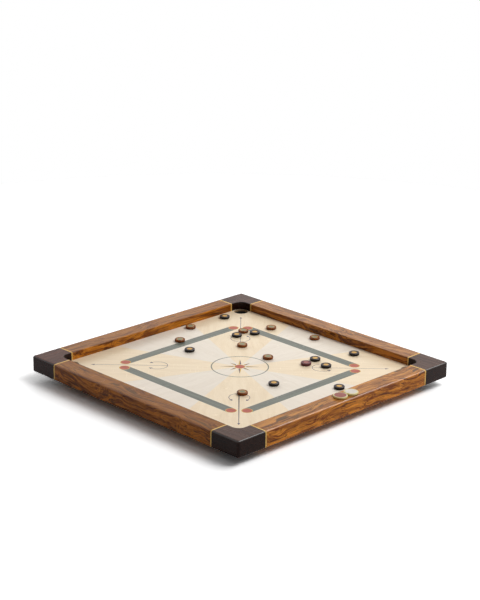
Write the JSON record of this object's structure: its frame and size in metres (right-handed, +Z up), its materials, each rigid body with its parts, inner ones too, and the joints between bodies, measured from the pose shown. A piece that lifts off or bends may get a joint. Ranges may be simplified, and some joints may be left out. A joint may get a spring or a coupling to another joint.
{
  "type": "carrom board",
  "caption": "Square carrom board: raised rosewood frame with black corner blocks, corner pockets with cups, a lined playing field, men, a queen and strikers.",
  "frame": {"origin": "on the floor plane, under the centre of the board", "axes": "+X out of the right rail, +Y out of the back rail, +Z up"},
  "size_m": [0.8576, 0.8576, 0.0775],
  "materials": {
    "rosewood": "clear satin lacquer on figured reddish-brown timber",
    "ebony": "clear satin lacquer on near-black timber",
    "boxwood": "clear satin lacquer on pale yellow timber",
    "maple_veneer": "hard satin lacquer on cream veneers",
    "birch_ply": "sanded plywood",
    "beech": "sanded bare timber",
    "black_cup": "matt black moulding",
    "black_foot": "matt black paint on turned timber",
    "black_wood": "polished black timber with a brass-coloured inlay",
    "brown_wood": "polished brown timber with a pale green inlay",
    "purple_wood": "polished purple-red timber with a pink inlay",
    "rose_ivory": "polished ivory-coloured plastic with a rose inlay",
    "pale_ivory": "polished ivory-coloured plastic with a cream inlay"
  },
  "bodies": {
    "board": {"back_cleat": "beech", "back_rail": "rosewood", "bed_core": "birch_ply", "corner_block_back_left": "ebony", "corner_block_back_right": "ebony", "corner_block_front_left": "ebony", "corner_block_front_right": "ebony", "foot_back_left": "black_foot", "foot_back_right": "black_foot", "foot_front_left": "black_foot", "foot_front_right": "black_foot", "front_cleat": "beech", "front_rail": "rosewood", "inlay_strip_back_left": "boxwood", "inlay_strip_back_right": "boxwood", "inlay_strip_front_left": "boxwood", "inlay_strip_front_right": "boxwood", "inlay_strip_left_back": "boxwood", "inlay_strip_left_front": "boxwood", "inlay_strip_right_back": "boxwood", "inlay_strip_right_front": "boxwood", "left_batten": "beech", "left_cleat": "beech", "left_rail": "rosewood", "playing_veneer": "maple_veneer", "pocket_cup_back_left": "black_cup", "pocket_cup_back_right": "black_cup", "pocket_cup_front_left": "black_cup", "pocket_cup_front_right": "black_cup", "right_batten": "beech", "right_cleat": "beech", "right_rail": "rosewood", "tenon_back_left": "beech", "tenon_back_right": "beech", "tenon_front_left": "beech", "tenon_front_right": "beech", "tenon_left_back": "beech", "tenon_left_front": "beech", "tenon_right_back": "beech", "tenon_right_front": "beech"},
    "black_man_1": {"black_man_1": "black_wood"},
    "black_man_2": {"black_man_2": "black_wood"},
    "black_man_3": {"black_man_3": "black_wood"},
    "black_man_4": {"black_man_4": "black_wood"},
    "black_man_5": {"black_man_5": "black_wood"},
    "black_man_6": {"black_man_6": "black_wood"},
    "black_man_7": {"black_man_7": "black_wood"},
    "black_man_8": {"black_man_8": "black_wood"},
    "black_man_9": {"black_man_9": "black_wood"},
    "brown_man_1": {"brown_man_1": "brown_wood"},
    "brown_man_2": {"brown_man_2": "brown_wood"},
    "brown_man_3": {"brown_man_3": "brown_wood"},
    "brown_man_4": {"brown_man_4": "brown_wood"},
    "brown_man_5": {"brown_man_5": "brown_wood"},
    "brown_man_6": {"brown_man_6": "brown_wood"},
    "brown_man_7": {"brown_man_7": "brown_wood"},
    "brown_man_8": {"brown_man_8": "brown_wood"},
    "queen": {"queen": "purple_wood"},
    "striker_rose": {"striker_rose": "rose_ivory"},
    "striker_pale": {"striker_pale": "pale_ivory"}
  },
  "joints": [
    {"name": "black_man_1_slide", "type": "slide", "parent": "board", "child": "black_man_1", "axis": [1, 0, 0], "range_m": [-0.0161, 0.6903]},
    {"name": "black_man_2_slide", "type": "slide", "parent": "board", "child": "black_man_2", "axis": [1, 0, 0], "range_m": [-0.1593, 0.1658]},
    {"name": "black_man_3_slide", "type": "slide", "parent": "board", "child": "black_man_3", "axis": [1, 0, 0], "range_m": [-0.0714, 0.1608]},
    {"name": "black_man_4_slide", "type": "slide", "parent": "board", "child": "black_man_4", "axis": [1, 0, 0], "range_m": [-0.0157, 0.1808]},
    {"name": "black_man_5_slide", "type": "slide", "parent": "board", "child": "black_man_5", "axis": [1, 0, 0], "range_m": [-0.1658, 0.1849]},
    {"name": "black_man_6_slide", "type": "slide", "parent": "board", "child": "black_man_6", "axis": [1, 0, 0], "range_m": [-0.1403, 0.0402]},
    {"name": "black_man_7_slide", "type": "slide", "parent": "board", "child": "black_man_7", "axis": [1, 0, 0], "range_m": [-0.1624, 0.1418]},
    {"name": "black_man_8_slide", "type": "slide", "parent": "board", "child": "black_man_8", "axis": [1, 0, 0], "range_m": [-0.0029, 0.1345]},
    {"name": "black_man_9_slide", "type": "slide", "parent": "board", "child": "black_man_9", "axis": [1, 0, 0], "range_m": [-0.1345, 0.0157]},
    {"name": "brown_man_1_slide", "type": "slide", "parent": "board", "child": "brown_man_1", "axis": [1, 0, 0], "range_m": [-0.0124, 0.0957]},
    {"name": "brown_man_2_slide", "type": "slide", "parent": "board", "child": "brown_man_2", "axis": [1, 0, 0], "range_m": [-0.0772, 0.6292]},
    {"name": "brown_man_3_slide", "type": "slide", "parent": "board", "child": "brown_man_3", "axis": [1, 0, 0], "range_m": [-0.1493, 0.0029]},
    {"name": "brown_man_4_slide", "type": "slide", "parent": "board", "child": "brown_man_4", "axis": [1, 0, 0], "range_m": [-0.0957, 0.0489]},
    {"name": "brown_man_5_slide", "type": "slide", "parent": "board", "child": "brown_man_5", "axis": [1, 0, 0], "range_m": [-0.0489, 0.1403]},
    {"name": "brown_man_6_slide", "type": "slide", "parent": "board", "child": "brown_man_6", "axis": [1, 0, 0], "range_m": [-0.1863, 0.0749]},
    {"name": "brown_man_7_slide", "type": "slide", "parent": "board", "child": "brown_man_7", "axis": [1, 0, 0], "range_m": [-0.0749, 0.0714]},
    {"name": "brown_man_8_slide", "type": "slide", "parent": "board", "child": "brown_man_8", "axis": [1, 0, 0], "range_m": [-0.5108, 0.1956]},
    {"name": "queen_slide", "type": "slide", "parent": "board", "child": "queen", "axis": [1, 0, 0], "range_m": [-0.1105, 0.0195]},
    {"name": "striker_rose_slide", "type": "slide", "parent": "board", "child": "striker_rose", "axis": [0, 1, 0], "range_m": [-0.388, 0]},
    {"name": "striker_pale_slide", "type": "slide", "parent": "board", "child": "striker_pale", "axis": [0, 1, 0], "range_m": [0, 0.36]}
  ]
}
